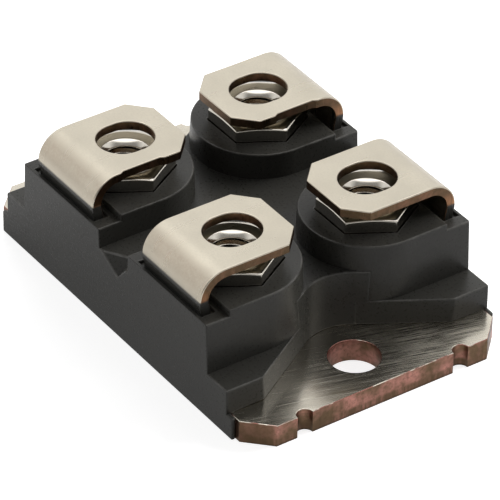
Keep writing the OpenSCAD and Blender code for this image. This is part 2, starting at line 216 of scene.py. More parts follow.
class MouldSizes(bpy.types.PropertyGroup):
    """Sizes of the moulded body"""

    ear_x: length("Ear end", "Distance of the ears' ends from the middle", HOLE_X + 0.65)
    ear_z: length("Ear level", "Level of the ears' tops", 4.2)
    floor_z: length("Floor level", "Level of the floor between the towers", 6.95)
    ledge_z: length("Ledge level", "Level of the towers' outer ledges", 8.68)
    ledge_w: length("Ledge width", "Width of an outer ledge", 2.15)
    tower_r: length("Tower radius", "Radius of a tower at the level of the floor", 5.525)
    recess_r: length("Recess radius", "Radius of a screw head's recess at the level of the floor", 4.26)
    recess_lap: length("Recess lap", "How far a flank cuts inside the tangent of the recess", 0.02)
    flank: angle("Flank angle", "Angle of the recess flanks from the length of the body", 59)
    draft: angle("Draft", "Lean of the moulded walls from the upright", 2.5)
    pocket_gap: length("Pocket gap", "Room round a strap in its pocket", 0.3)
    pocket_z: length("Pocket level", "Level of the strap pocket's floor", 8.4)
    nut_gap: length("Nut gap", "Room round a nut in its pocket, on each side", 0.04)
    well_r: length("Well radius", "Radius of the screw well under a nut", 2.15)
    well_depth: length("Well depth", "Depth of the screw well under a nut", 2)
    gate_w: length("Gate scar width", "Width of the scar of the broken-off mould gate", 3.4)
    gate_h: length("Gate scar depth", "Depth of the scar below the floor", 1.3)
    gate_tip: length("Gate scar tip", "Distance of the scar's lowest point from the middle", 0.6)
    gate_slope: angle("Gate scar slope", "Slope of the scar into the body", 42)
    edge: length("Edge", "Rounding of the body's edges", 0.13)


class StrapSizes(bpy.types.PropertyGroup):
    """Sizes of the folded terminals"""

    sheet: length("Sheet", "Thickness of the sheet", 0.8)
    cut_x: length("Corner cut across", "Cut at the free corners, across the strap", 1.75)
    cut_y: length("Corner cut along", "Cut at the free corners, along the strap", 1.65)
    slot_w: length("Slot width", "Width of the screw slot", 4.2)
    slot_l: length("Slot length", "Length of the screw slot", 4.8)
    lean: angle("Lean", "Lean of the strap outwards where it leaves the body", 16)
    rise: length("Rise", "Height of the leaning stretch above the ledge", 0.26)
    cover: length("Cover", "Wall of the body outside the strap", 0.57)
    shoulder_z: length("Shoulder level", "Level of the shoulder inside the body", 7.58)
    foot_w: length("Foot width", "Width of the leg and foot inside the body", 3.6)
    foot_r: length("Foot bend", "Outer radius of the bend above the foot", 1.2)
    foot_tip: length("Foot tip", "Distance of the foot's tip from the terminal axis", 1.85)
    tie_l: length("Tie notch length", "Length of the notch where the tie bar was sheared off", 3.4)
    tie_depth: length("Tie notch depth", "Depth of that notch", 0.2)
    tie_y: length("Tie notch place", "Distance of that notch from the terminal axis, outwards", 0.95)
    tie_run: length("Tie notch slope", "Run of the slope at each end of that notch", 0.35)
    edge: length("Edge", "Rounding of the strap's outer edges, which the shear pulled in", 0.1)
    burr: length("Burr", "Rounding of the strap's other edges", 0.03)


class NutSizes(bpy.types.PropertyGroup):
    """Sizes of the captive nuts"""

    face_r: length("Face radius", "Radius of the flat top and bottom inside the chamfer", 2.95)
    chamfer: angle("Chamfer", "Slope of the chamfer on the corners", 18)
    sink_r: length("Sink radius", "Upper radius of the sink above the thread", 2.075)
    sink_h: length("Sink depth", "Depth of the sink above the thread", 0.45)
    lip_h: length("Lip", "Height of the plain lip at the upper end of the thread", 0.15)
    lead_r: length("Lead-in radius", "Radius of the lead-in at the lower end of the thread", 2.15)
    root_r: length("Thread root", "Radius of the thread's root", 2)
    pitch: length("Pitch", "Distance between the thread's turns", 0.7)
    edge: length("Edge", "Rounding of the outer edges and of the lip", 0.1)
    mouth: length("Sink mouth", "Rounding of the sink's upper edge", 0.06)


class Finishes(bpy.types.PropertyGroup):
    """Colours of the module"""

    epoxy: colour("Epoxy", "Colour of the moulded body", 0.034, 0.033, 0.029)
    # The pale epoxy on upward edges is partly rubbing and partly painted highlight; the flash has the same
    # colour
    epoxy_pale: colour("Worn epoxy", "Colour of the body's rubbed edges", 0.085, 0.082, 0.075)
    plate: colour("Plate nickel", "Colour of the plate's face", 0.72, 0.67, 0.57)
    plate_cut: colour("Plate copper", "Colour of the plate's sheared edges", 0.56, 0.265, 0.215)
    plate_tarnish: colour("Plate tarnish", "Colour of those edges where tarnished", 0.17, 0.108, 0.062)
    strap: colour("Strap nickel", "Colour of the straps' faces", 0.69, 0.632, 0.517)
    # Painted shade on the straps' bends, which reflect the dim room
    strap_bend_shade: colour("Stretched nickel", "Colour of the straps at their bends", 0.41, 0.335, 0.26)
    strap_cut: colour("Strap copper", "Colour of the straps' sheared edges", 0.21, 0.113, 0.07)
    strap_tarnish: colour("Strap tarnish", "Colour of those edges where tarnished", 0.115, 0.076, 0.043)
    strap_stain: colour("Strap stain", "Colour of those edges low on the bend", 0.44, 0.22, 0.115)
    nut: colour("Nut nickel", "Colour of the nuts", 0.64, 0.60, 0.53)
    solder: colour("Solder", "Colour of the solder", 0.62, 0.63, 0.64)
    copper: colour("Copper", "Colour of the substrate's copper", 0.72, 0.45, 0.33)
    ceramic: colour("Ceramic", "Colour of the substrate's ceramic", 0.86, 0.85, 0.81)
    silicon: colour("Silicon", "Colour of the chips", 0.20, 0.22, 0.28)
    wire: colour("Bond wire", "Colour of the bond wires", 0.78, 0.79, 0.80)


class StageSettings(bpy.types.PropertyGroup):
    """Camera and light of the stage"""

    azimuth: angle("Azimuth", "Direction of the camera round the module", 55.129)
    elevation: angle("Elevation", "Height of the camera above the horizon", 35.712)
    roll: angle("Roll", "Turn of the camera about its line of sight", 0.83)
    distance: length("Distance", "Distance of the camera from its target", 329.228)
    target: FloatVectorProperty(name="Target", description="Point that the camera looks at", unit="LENGTH",
                                subtype="TRANSLATION", precision=5,
                                default=(8.011 * MM, -5.037 * MM, 9.845 * MM))
    view_width: length("View width", "Width of the view at the target", 38.37)
    key: power("Key light", "Power of the light on the near long side", 0.5)
    back: power("Back light", "Power of the light behind the far side", 2.0)
    soft: power("Soft light", "Power of the light above the far left", 0.8)
    front: share("Front", "Brightness of the dim room on the camera's side, in reflections", 0.35)
    fill: share("Fill", "Strength of the light from all round", 0.2)


def in_millimetres(settings):
    """The values of a property group, with its lengths in millimetres."""
    values = {}
    for key, prop in settings.bl_rna.properties.items():
        if prop.type == "FLOAT" and not prop.is_array:
            values[key] = getattr(settings, key) / (MM if prop.unit == "LENGTH" else 1)
    return SimpleNamespace(**values)


# Modelling by hand, in millimetres

def take(obj):
    """Selects one object alone and makes it active."""
    if bpy.context.mode != "OBJECT":
        bpy.ops.object.mode_set(mode="OBJECT")
    bpy.ops.object.select_all(action="DESELECT")
    if obj is not None:
        obj.select_set(True)
        bpy.context.view_layer.objects.active = obj
    return obj


def placed():
    """The active object, with its place and size in its mesh."""
    bpy.ops.object.transform_apply(location=True, rotation=True, scale=True)
    return bpy.context.object


def add_box(low, high):
    """A box between two corners."""
    take(None)
    low, high = Vector(low), Vector(high)
    bpy.ops.mesh.primitive_cube_add(size=1, location=(low + high) / 2, scale=high - low)
    return placed()


def add_drum(x, y, low_z, high_z, low_r, high_r=None, sides=FACETS["bore"], turn=0.0):
    """An upright cylinder, or a cone where the radii differ."""
    take(None)
    bpy.ops.mesh.primitive_cone_add(
        vertices=sides, radius1=low_r, radius2=high_r or low_r, depth=high_z - low_z,
        location=(x, y, (low_z + high_z) / 2), rotation=(0, 0, turn))
    return placed()


@contextmanager
def editing(obj):
    """Edit mode on one object, with nothing selected."""
    take(obj)
    bpy.ops.object.mode_set(mode="EDIT")
    bpy.ops.mesh.select_all(action="DESELECT")
    yield obj
    bpy.ops.object.mode_set(mode="OBJECT")


def pick(kind, test):
    """Selects the vertices, edges or faces in edit mode that pass a test."""
    bpy.ops.mesh.select_mode(type=kind)
    bpy.ops.mesh.select_all(action="DESELECT")
    mesh = bpy.context.edit_object.data
    form = bmesh.from_edit_mesh(mesh)
    found = [x for x in {"VERT": form.verts, "EDGE": form.edges, "FACE": form.faces}[kind] if test(x)]
    if not found:
        raise RuntimeError(f"nothing to select on {bpy.context.edit_object.name}")
    for item in found:
        item.select_set(True)
    form.select_flush_mode()
    bmesh.update_edit_mesh(mesh)


def pick_all():
    """Selects the whole mesh in edit mode."""
    bpy.ops.mesh.select_all(action="SELECT")


def along(axis, value):
    """A test for parts of a mesh that lie on one plane across an axis."""
    def test(item):
        corners = [item] if isinstance(item, bmesh.types.BMVert) else item.verts
        return all(abs(getattr(v.co, axis) - value) < NEAR for v in corners)
    return test


def pull(vector):
    """Extrudes what is selected."""
    bpy.ops.mesh.extrude_region_move(TRANSFORM_OT_translate={"value": vector})


def move(vector):
    """Moves what is selected."""
    bpy.ops.transform.translate(value=vector)


def stretch(factors, centre):
    """Resizes what is selected about a point."""
    bpy.ops.transform.resize(value=factors, center_override=centre)


def slice_at(point, normal, trim=False):
    """Cuts what is selected along a plane, and closes it where its outer part is trimmed off."""
    bpy.ops.mesh.bisect(plane_co=point, plane_no=normal, clear_outer=trim, use_fill=trim)


def face_outwards():
    """Turns all faces of the mesh in edit mode outwards."""
    pick_all()
    bpy.ops.mesh.normals_make_consistent(inside=False)


def apply_modifier(obj, kind, **settings):
    """Adds a modifier with its settings and applies it."""
    take(obj)
    bpy.ops.object.modifier_add(type=kind)
    modifier = obj.modifiers[-1]
    for key, value in settings.items():
        setattr(modifier, key, value)
    bpy.ops.object.modifier_apply(modifier=modifier.name)


def combine(obj, operation, *others):
    """Joins other solids to an object, or cuts them out of it, and removes them."""
    for other in others:
        apply_modifier(obj, "BOOLEAN", operation=operation, solver="EXACT", object=other)
        bpy.data.objects.remove(other)
    if not obj.data.polygons:
        raise RuntimeError(f"{operation} left nothing of {obj.name}")


def clean(obj):
    """Merges what cuts have split on flat faces."""
    with editing(obj):
        pick_all()
        bpy.ops.mesh.remove_doubles(threshold=NEAR)
        bpy.ops.mesh.dissolve_limited(angle_limit=FLAT_TURN)
        bpy.ops.mesh.delete_loose()
        face_outwards()


def is_corner(least):
    """A test for edges that turn outwards by more than an angle."""
    def test(edge):
        return len(edge.link_faces) == 2 and edge.is_convex and edge.calc_face_angle() > least
    return test


def slopes(face):
    """A test for faces that look upwards but aren't level, as on the rounding of a top edge."""
    least, greatest = SLOPING
    return least < face.normal.z < greatest


def round_edges(width, test, segments, material=-1, rubbed_and_highlit=None):
    """Bevels the edges that pass a test in edit mode, and marks the new faces that pass another: for
    worn-through nickel on the plate, for rubbing and painted highlight on the body.
    """
    pick("EDGE", test)
    bpy.ops.mesh.bevel(offset=width, segments=segments, profile=0.5, affect="EDGES", clamp_overlap=False,
                       material=material, miter_outer="SHARP")
    if rubbed_and_highlit:
        mesh = bpy.context.edit_object.data
        form = bmesh.from_edit_mesh(mesh)
        layer = form.faces.layers.float.new(WORN_AND_HIGHLIT)
        for face in form.faces:
            face[layer] = float(face.select and rubbed_and_highlit(face))
        bmesh.update_edit_mesh(mesh)


def paint(obj, *materials):
    """Gives an object its material slots, in order."""
    slots = obj.data.materials
    for index, material in enumerate(materials):
        if index < len(slots):
            slots[index] = material
        else:
            slots.append(material)


def copy_of(obj):
    """A copy with a mesh of its own."""
    take(obj)
    bpy.ops.object.duplicate(linked=False)
    return bpy.context.object


def shift(obj, x, y, turn=0.0):
    """Moves a piece to its place, turned about its own axis first."""
    obj.rotation_euler.z = turn
    obj.location = (x, y, 0)
    take(obj)
    return placed()


def finish_piece(obj, name, slot, *nodes):
    """Names a piece, brings it to metres, smooths its shading and ties it to the frame."""
    take(obj)
    obj.name = name
    obj.data.name = name
    obj.scale = (MM, MM, MM)
    placed()
    bpy.ops.object.shade_smooth_by_angle(angle=SMOOTH_TURN)
    apply_modifier(obj, "WEIGHTED_NORMAL", keep_sharp=True, weight=100)
    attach(obj, BODY)
    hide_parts(*nodes)
    return obj


# Shader nodes

def node(tree, kind, links=None, **settings):
    """A node with its settings, and its inputs linked to sockets or set to values."""
    made = tree.nodes.new(kind)
    for key, value in settings.items():
        setattr(made, key, value)
    for key, value in (links or {}).items():
        if isinstance(value, bpy.types.NodeSocket):
            tree.links.new(value, made.inputs[key])
        else:
            made.inputs[key].default_value = value
    return made


def calc(tree, operation, first, second=0.0):
    """A number worked out from one or two others."""
    return node(tree, "ShaderNodeMath", {0: first, 1: second}, operation=operation).outputs[0]


def times(tree, first, second):
    """The product of two numbers."""
    return calc(tree, "MULTIPLY", first, second)


def spread(tree, value, span, result=(0.0, 1.0)):
    """A value taken from one span to another, and held within it."""
    keys = ("Value", "From Min", "From Max", "To Min", "To Max")
    links = dict(zip(keys, (value, *span, *result)))
    return node(tree, "ShaderNodeMapRange", links).outputs["Result"]


def inverse(tree, value):
    """A mask turned round: 1 where it is 0, and 0 where it is 1."""
    return spread(tree, value, (0.0, 1.0), (1.0, 0.0))


def noise(tree, vector, scale, detail, roughness):
    """Soft noise between 0 and 1."""
    links = {"Vector": vector, "Scale": scale, "Detail": detail, "Roughness": roughness}
    return node(tree, "ShaderNodeTexNoise", links).outputs["Fac"]


def part_along(tree, vector, axis):
    """A vector's part along one axis."""
    return node(tree, "ShaderNodeSeparateXYZ", {0: vector}).outputs[axis]


def object_place(tree):
    """The place on a piece, in metres from the frame's origin."""
    return tree.nodes.new("ShaderNodeTexCoord").outputs["Object"]


def coordinate(tree, axis):
    """The place along one axis, in millimetres from the frame's origin."""
    return times(tree, part_along(tree, object_place(tree), axis), 1 / MM)


def looks_along(tree, axis):
    """How far a face looks along an axis: 1 straight along it, 0 across it, -1 straight against it."""
    normal = tree.nodes.new("ShaderNodeNewGeometry").outputs["Normal"]
    return part_along(tree, normal, axis)


def mixed(tree, factor, first, second):
    """A colour between two others, each a socket or a plain colour."""
    first, second = (c if isinstance(c, bpy.types.NodeSocket) else (*c, 1) for c in (first, second))
    links = {MIX_FACTOR: factor, MIX_FIRST: first, MIX_SECOND: second}
    return node(tree, "ShaderNodeMix", links, data_type="RGBA").outputs[MIX_RESULT]


def layered(tree, base, *layers):
    """A colour with others laid over it in order, each by its mask."""
    for mask, rgb in layers:
        base = mixed(tree, mask, base, rgb)
    return base


def shade(rgb, factor):
    """A colour made darker or lighter."""
    return tuple(min(1.0, part * factor) for part in rgb)


# Shader node groups

def group_tree(name, inputs, outputs):
    """An empty node group with float inputs and outputs, and its two end nodes."""
    tree = bpy.data.node_groups.new(name, "ShaderNodeTree")
    for key, value in inputs.items():
        tree.interface.new_socket(key, in_out="INPUT", socket_type="NodeSocketFloat").default_value = value
    for key in outputs:
        tree.interface.new_socket(key, in_out="OUTPUT", socket_type="NodeSocketFloat")
    return tree, tree.nodes.new("NodeGroupInput").outputs, tree.nodes.new("NodeGroupOutput").inputs


def grain_group():
    """Fine moulded or plated grain with broad clouds."""
    tree, given, made = group_tree("grain", {"Grain scale": 5000, "Cloud scale": 200}, ("Grain", "Cloud"))
    place = object_place(tree)
    tree.links.new(noise(tree, place, given["Grain scale"], detail=3, roughness=0.6), made["Grain"])
    tree.links.new(noise(tree, place, given["Cloud scale"], detail=3, roughness=0.55), made["Cloud"])
    return tree


def streak_group():
    """Streaks of a brush or a shear: noise drawn out along one direction, fine and broad."""
    inputs = {"Turn": 0.0, "Across": 6000, "Along": 150, "Down": 6000}
    tree, given, made = group_tree("streaks", inputs, ("Streak", "Broad streak"))
    turning = {"Vector": object_place(tree), "Angle": given["Turn"]}
    turned = node(tree, "ShaderNodeVectorRotate", turning, rotation_type="Z_AXIS").outputs[0]
    scales = {"X": given["Across"], "Y": given["Along"], "Z": given["Down"]}
    scale = node(tree, "ShaderNodeCombineXYZ", scales).outputs[0]
    drawn = node(tree, "ShaderNodeVectorMath", {0: turned, 1: scale}, operation="MULTIPLY").outputs[0]
    tree.links.new(noise(tree, drawn, scale=1.0, detail=2, roughness=0.6), made["Streak"])
    tree.links.new(noise(tree, drawn, scale=0.22, detail=2, roughness=0.5), made["Broad streak"])
    return tree


def wear_and_highlight_group():
    """Marked edges broken up by noise: worn-through nickel on the plate, rubbing and painted highlight on the
    body.
    """
    tree, given, made = group_tree("edge_wear", {"Patch scale": 900, "Low": 0.3, "High": 0.6}, ("Wear",))
    marked = node(tree, "ShaderNodeAttribute", attribute_name=WORN_AND_HIGHLIT).outputs["Fac"]
    cloud = noise(tree, object_place(tree), given["Patch scale"], detail=3, roughness=0.6)
    patches = spread(tree, cloud, (given["Low"], given["High"]))
    tree.links.new(times(tree, marked, patches), made["Wear"])
    return tree


def level_group():
    """How far a place lies below one level and towards another, in millimetres."""
    tree, given, made = group_tree("level", {"Top": 10.0, "Bottom": 9.0}, ("Below",))
    levels = (given["Top"], given["Bottom"])
    tree.links.new(spread(tree, coordinate(tree, "Z"), levels), made["Below"])
    return tree


NODE_GROUPS = {"grain": grain_group, "streaks": streak_group, "edge_wear": wear_and_highlight_group, "level": level_group}


def group(tree, name, **inputs):
    """Places a shared node group, which is built the first time, with its own values."""
    placed_group = tree.nodes.new("ShaderNodeGroup")
    placed_group.node_tree = bpy.data.node_groups.get(name) or NODE_GROUPS[name]()
    for key, value in inputs.items():
        placed_group.inputs[key.replace("_", " ").capitalize()].default_value = value
    return placed_group.outputs


def below(tree, top, bottom):
    """A mask that grows from one level down to another, in millimetres."""
    return group(tree, "level", top=top, bottom=bottom)["Below"]


# Materials

def start_material(name, metallic, specular=0.5):
    """A new material, its node tree and its shader."""
    material = bpy.data.materials.new(name)
    material.use_nodes = True
    shader = material.node_tree.nodes["Principled BSDF"]
    shader.inputs["Metallic"].default_value = metallic
    shader.inputs["Specular IOR Level"].default_value = specular
    return material, material.node_tree, shader


def feed(tree, shader, **values):
    """Links values to a shader's inputs of the same names."""
    for key, value in values.items():
        tree.links.new(value, shader.inputs[key.replace("_", " ").title()])


def bump(tree, shader, height, strength, depth):
    """Relief on a shader, with its depth in millimetres."""
    links = {"Height": height, "Strength": strength, "Distance": depth * MM}
    feed(tree, shader, normal=node(tree, "ShaderNodeBump", links).outputs[0])


def clouded(tree, grain, rgb, dark, light):
    """A colour with broad clouds, by the factors of the darkest and the lightest."""
    return mixed(tree, spread(tree, grain["Cloud"], MIDDLE), shade(rgb, dark), shade(rgb, light))


def resin_and_shade_over(tree, shader, look, base, resin):
    """Links a metal's colour and sheen, which end where a mask turns it to the epoxy's colour: resin run on
    the plate, painted shade on the straps.
    """
    feed(tree, shader, base_color=mixed(tree, resin, base, look.epoxy), metallic=inverse(tree, resin))


def epoxy_material(look):
    """Matt black moulding compound, with pale upward edges that are partly rubbing and partly painted
    highlight, and a pale line of flash on the plate.
    """
    material, tree, shader = start_material("moulded_epoxy", metallic=0.0, specular=0.28)
    grain = group(tree, "grain", grain_scale=4200, cloud_scale=160)
    # Pale upward edges: partly rubbing, partly painted highlight
    wear_and_highlight = group(tree, "edge_wear")["Wear"]
    seam = below(tree, PLATE_HIGH.z + FLASH, PLATE_HIGH.z + FLASH / 2)
    aside = calc(tree, "ABSOLUTE", coordinate(tree, "Y"))
    on_plate = spread(tree, aside, (PLATE_HIGH.y, PLATE_HIGH.y - FLASH))
    flash = times(tree, times(tree, seam, on_plate), spread(tree, grain["Cloud"], (0.45, 0.6)))
    specks = spread(tree, grain["Grain"], (0.68, 0.76), (0.0, 0.3))
    base = layered(tree, clouded(tree, grain, look.epoxy, dark=0.94, light=1.07),
                   (specks, shade(look.epoxy, 2.0)),
                   (wear_and_highlight, look.epoxy_pale),
                   (flash, look.epoxy_pale))
    feed(tree, shader, base_color=base, roughness=spread(tree, grain["Grain"], MIDDLE, (0.24, 0.38)))
    bump(tree, shader, grain["Grain"], strength=0.3, depth=0.02)
    return material


def plate_material(look):
    """Nickel on the plate's faces: brushed across, scuffed on the far half, worn through along the edges."""
    material, tree, shader = start_material("plate_nickel", metallic=1.0)
    streaks = group(tree, "streaks", turn=math.radians(16), across=22000, along=260, down=22000)
    grain = group(tree, "grain", grain_scale=7000, cloud_scale=320)
    bare = group(tree, "edge_wear", patch_scale=500, low=0.42, high=0.52)["Wear"]
    base = layered(tree, clouded(tree, grain, look.plate, dark=0.93, light=1.05),
                   (bare, shade(look.plate_cut, 0.6)))
    brushed = spread(tree, streaks["Broad streak"], (0.35, 0.65), (0.14, 0.21))
    scuffed = spread(tree, coordinate(tree, "Y"), (0.0, SCUFF), (0.25, 1.0))
    scratched = times(tree, spread(tree, streaks["Streak"], (0.46, 0.66), (0.0, 0.34)), scuffed)
    feed(tree, shader, base_color=base, roughness=calc(tree, "ADD", brushed, scratched))
    bump(tree, shader, streaks["Streak"], strength=0.04, depth=0.006)
    return material


def strap_low_shade(tree, level):
    """Painted shade in the epoxy's colour on the outside of a strap, below a level."""
    outwards = times(tree, coordinate(tree, "Y"), looks_along(tree, "Y"))
    inside = spread(tree, outwards, (0.0, -1.0))
    return times(tree, below(tree, level, level - STRAP_SHADE_FADE), inverse(tree, inside))


def strap_material(look, level):
    """Satin nickel, with painted shade on the bend and on its underside."""
    material, tree, shader = start_material("strap_nickel", metallic=1.0)
    grain = group(tree, "grain", grain_scale=6000, cloud_scale=300)
    streaks = group(tree, "streaks", across=5000, along=500, down=700)
    up = looks_along(tree, "Z")
    # Painted shade on the bend, by how far it turns from level
    bent = times(tree, spread(tree, up, (0.97, 0.75)), spread(tree, up, (0.1, 0.5), (0.3, 1.0)))
    bend_shade = times(tree, bent, spread(tree, grain["Cloud"], (0.3, 0.62), (0.6, 1.0)))
    mottle = spread(tree, grain["Cloud"], (0.35, 0.7), (0.0, 0.7))
    specks = spread(tree, grain["Grain"], (0.42, 0.68), (0.0, 0.5))
    # Painted shade on the underside, which looks down
    under = spread(tree, up, (-0.4, -0.8))
    base = layered(tree, look.strap,
                   (bend_shade, look.strap_bend_shade),
                   (mottle, shade(look.strap, 0.84)),
                   (specks, shade(look.strap, 0.84)),
                   (under, shade(look.strap, 0.7)))
    # Painted shade: the strap's outside turns to the epoxy's colour below the level
    resin_and_shade_over(tree, shader, look, base, strap_low_shade(tree, level))
    feed(tree, shader, roughness=spread(tree, streaks["Broad streak"], MIDDLE, (0.26, 0.34)))
    bump(tree, shader, grain["Grain"], strength=0.05, depth=0.008)
    return material


def sheared_colour(tree, rgb, tarnish):
    """Bare copper at a sheared edge: streaked upright, with tarnished stretches and redder clean ones."""
    streaks = group(tree, "streaks", across=3600, along=3600, down=500)
    grain = group(tree, "grain", grain_scale=3400, cloud_scale=420)
    dull = spread(tree, grain["Cloud"], (0.34, 0.62))
    torn = spread(tree, streaks["Broad streak"], (0.5, 0.72), (0.0, 0.5))
    pits = spread(tree, grain["Grain"], (0.46, 0.7), (0.0, 0.55))
    base = layered(tree, rgb, (dull, tarnish), (torn, shade(tarnish, 0.55)), (pits, shade(tarnish, 0.6)))
    return base, streaks["Streak"]


def plate_copper(look, corner):
    """The plate's sheared walls: torn lower down, burred at the bottom, with resin over the far corners."""
    material, tree, shader = start_material("plate_sheared_copper", metallic=1.0)
    base, streak = sheared_colour(tree, look.plate_cut, look.plate_tarnish)
    hole_end = HOLE_X + HOLE_R
    outer = spread(tree, calc(tree, "ABSOLUTE", coordinate(tree, "X")), (hole_end, hole_end + BURR))
    ragged = times(tree, outer, spread(tree, streak, (0.35, 0.55), (0.4, 0.9)))
    torn = times(tree, below(tree, TORN, TORN - BURR), ragged)
    burr = times(tree, below(tree, BURR, 0.0), outer)
    aside = coordinate(tree, "Y")
    start = PLATE_HIGH.y - corner
    near = spread(tree, aside, (-start, -start - BURR), (0.0, 0.7))
    far = spread(tree, aside, (start, start + BURR))
    base = layered(tree, base,
                   (torn, shade(look.plate_tarnish, 0.85)),
                   (burr, shade(look.plate_tarnish, 0.4)),
                   (near, shade(look.plate_tarnish, 0.8)))
    above_run = inverse(tree, below(tree, RUN_Z + FLASH, RUN_Z))
    resin_and_shade_over(tree, shader, look, base, times(tree, far, above_run))
    feed(tree, shader, roughness=spread(tree, streak, MIDDLE, (0.28, 0.5)))
    bump(tree, shader, streak, strength=0.2, depth=0.015)
    return material


def strap_copper(look, level):
    """The straps' sheared walls, stained low on the bend, with painted shade in the epoxy's colour below
    that.
    """
    material, tree, shader = start_material("strap_sheared_copper", metallic=1.0)
    base, streak = sheared_colour(tree, look.strap_cut, look.strap_tarnish)
    ragged = spread(tree, streak, (0.35, 0.6), (0.4, 1.0))
    stain = times(tree, below(tree, level + STAIN, level), ragged)
    base = mixed(tree, stain, base, look.strap_stain)
    # Painted shade: the cut edges turn to the epoxy's colour below the level
    resin_and_shade_over(tree, shader, look, base, strap_low_shade(tree, level))
    feed(tree, shader, roughness=spread(tree, streak, MIDDLE, (0.25, 0.42)))
    bump(tree, shader, streak, strength=0.2, depth=0.015)
    return material


def plain_material(name, rgb, roughness, metallic=1.0, sides=1.0):
    """A plain metal or solid with fine grain and clouds, and with a factor for painted shade on upright
    sides.
    """
    material, tree, shader = start_material(name, metallic)
    grain = group(tree, "grain", grain_scale=6000, cloud_scale=600)
    # Painted shade: upright sides are darkened by the factor
    upright = spread(tree, calc(tree, "ABSOLUTE", looks_along(tree, "Z")), (0.3, 0.1))
    base = layered(tree, clouded(tree, grain, rgb, dark=0.94, light=1.04), (upright, shade(rgb, sides)))
    rough = spread(tree, grain["Grain"], MIDDLE, (roughness, roughness + 0.06))
    feed(tree, shader, base_color=base, roughness=rough)
    return material


# Base plate

def model_plate(size):
    """The punched plate, with its corners cut, its holes and the half-round notches in its ends."""
    plate = add_box(PLATE_LOW, PLATE_HIGH)
    with editing(plate):
        pick("EDGE", lambda e: abs(e.verts[0].co.z - e.verts[1].co.z) > NEAR)
        bpy.ops.mesh.bevel(offset=size.corner, segments=1, affect="EDGES")
    low, high = PLATE_LOW.z - PAST, PLATE_HIGH.z + PAST
    for side in SIDES:
        combine(plate, "DIFFERENCE", add_drum(side * HOLE_X, 0, low, high, HOLE_R))
        for end in SIDES:
            notch = add_drum(side * PLATE_HIGH.x, end * size.notch_y, low, high, size.notch_r,
                             sides=FACETS["notch"])
            combine(plate, "DIFFERENCE", notch)
    clean(plate)
    return plate


def round_plate(plate, size):
    """Bares the copper of the walls, rolls the top edges over in nickel and breaks the bottom ones."""
    for face in plate.data.polygons:
        face.material_index = COPPER if abs(face.normal.z) < FACING else NICKEL
    corner = is_corner(SHEET_TURN)
    top, bottom = along("z", PLATE_HIGH.z), along("z", PLATE_LOW.z)
    with editing(plate):
        round_edges(size.rolled, lambda e: corner(e) and top(e), segments=3, material=NICKEL, rubbed_and_highlit=slopes)
        round_edges(size.sharp, lambda e: corner(e) and bottom(e), segments=2, material=COPPER)


# Moulded body

def model_tower(size):
    """A round-ended tower on the +X +Y terminal axis, run straight out to the long side and drafted."""
    def reach(z):
        return size.tower_r - (z - size.floor_z) * math.tan(size.draft)

    low, high = PLATE_HIGH.z, MOULD_HIGH.z
    tower = add_drum(AXIS_X, AXIS_Y, low, high, reach(low), reach(high), sides=FACETS["wall"])
    with editing(tower):
        pick_all()
        slice_at((0, AXIS_Y, 0), (0, 1, 0), trim=True)
        pick("FACE", along("y", AXIS_Y))
        pull((0, MOULD_HIGH.y + PAST - AXIS_Y, 0))
        pick_all()
        slice_at((0, MOULD_HIGH.y, 0), (0, 1, 0), trim=True)
    return tower


def model_recess(size):
    """What a mounting screw's head takes out of the +X +Y quarter: a drafted round seat and one flank."""
    def reach(z):
        return size.recess_r + (z - size.floor_z) * math.tan(size.draft)

    high = TOP_Z
    seat = add_drum(HOLE_X, 0, 0, high, reach(0), reach(high), sides=FACETS["wall"])
    run = PLATE_HIGH.x
    flank = add_box((HOLE_X, -size.recess_r, 0), (HOLE_X + run, reach(0) - size.recess_lap, high))
    with editing(flank):
        pick("EDGE", lambda e: all(v.co.y > 0 and v.co.z > high - NEAR for v in e.verts))
        move((0, reach(high) - reach(0), 0))
        pick_all()
        bpy.ops.transform.rotate(value=-size.flank, orient_axis="Z", center_override=(HOLE_X, 0, 0))
    return seat, flank


def model_gate_scar(size):
    """The cut of the broken-off gate: a triangle leaning on the near top edge, pulled through it."""
    drop = size.gate_h * math.cos(size.gate_slope)
    triangle_w, triangle_h = math.sqrt(3), 1.5
    take(None)
    bpy.ops.mesh.primitive_circle_add(vertices=3, radius=1, fill_type="NGON", location=(0, 0, 0))
    scar = placed()
    with editing(scar):
        pick_all()
        stretch((size.gate_w / triangle_w, -drop / triangle_h, 1), (0, 0, 0))
        pick("VERT", lambda v: abs(v.co.x) < NEAR)
        move((size.gate_tip, 0, 0))
        pick_all()
        move((0, -drop / 3, -size.gate_w))
        pull((0, 0, 2 * size.gate_w))
        face_outwards()
    scar.rotation_euler.x = math.pi / 2 + size.gate_slope
    scar.location = (0, MOULD_LOW.y, size.floor_z)
    take(scar)
    return placed()


